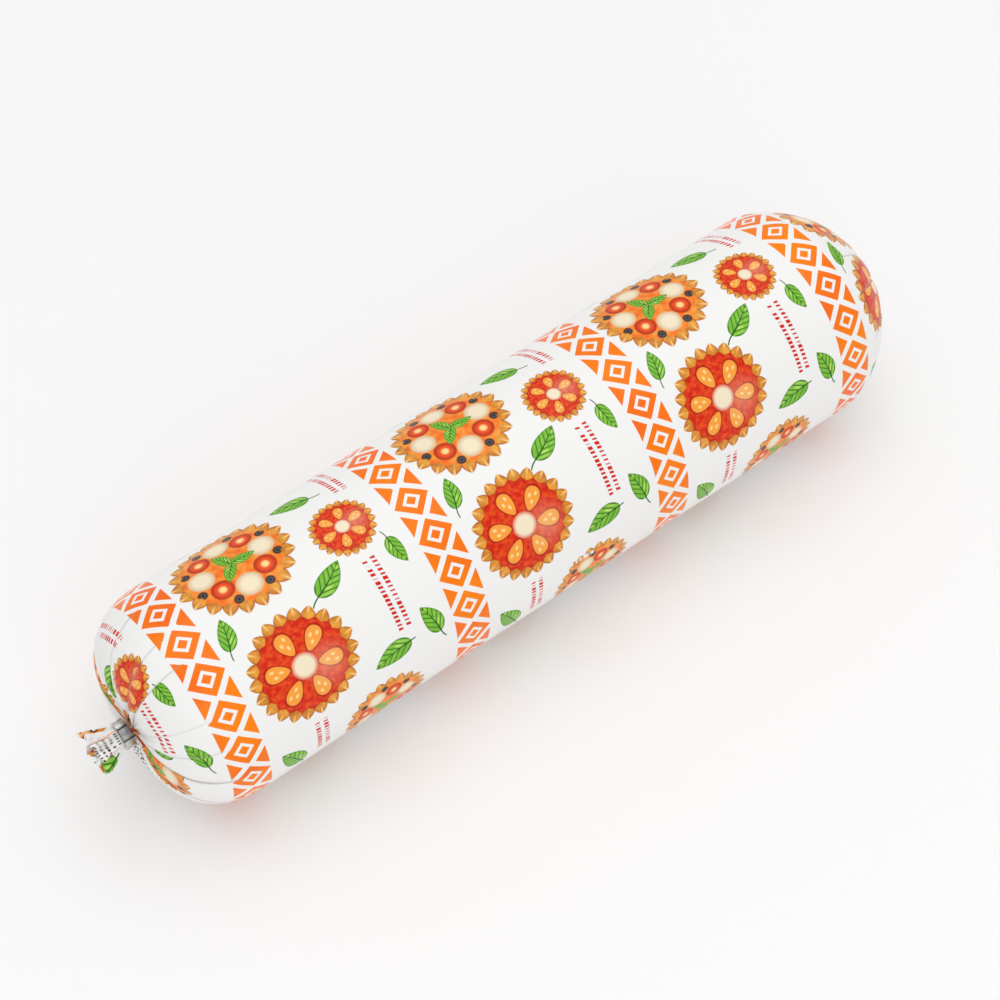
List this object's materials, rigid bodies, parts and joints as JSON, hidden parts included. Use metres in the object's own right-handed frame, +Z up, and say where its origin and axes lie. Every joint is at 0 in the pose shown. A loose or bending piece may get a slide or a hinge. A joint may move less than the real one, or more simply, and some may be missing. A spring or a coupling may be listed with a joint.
{
  "type": "mozzarella loaf",
  "caption": "Long loaf of pizza mozzarella in a printed white film casing, gathered in pleats and closed by a crimped metal clip at both ends, with short film tails",
  "frame": {"origin": "on the ground, below the centre of the bounding box", "axes": "+X along the loaf from the front clip to the back clip, +Z up"},
  "size_m": [0.3892, 0.0934, 0.0926],
  "materials": {
    "film": "white printed film, semi-gloss, with orange, red and green print",
    "clip": "bright crimped strip"
  },
  "bodies": {
    "root": {"casing": "film", "clip_front": "clip", "clip_back": "clip"}
  },
  "joints": []
}
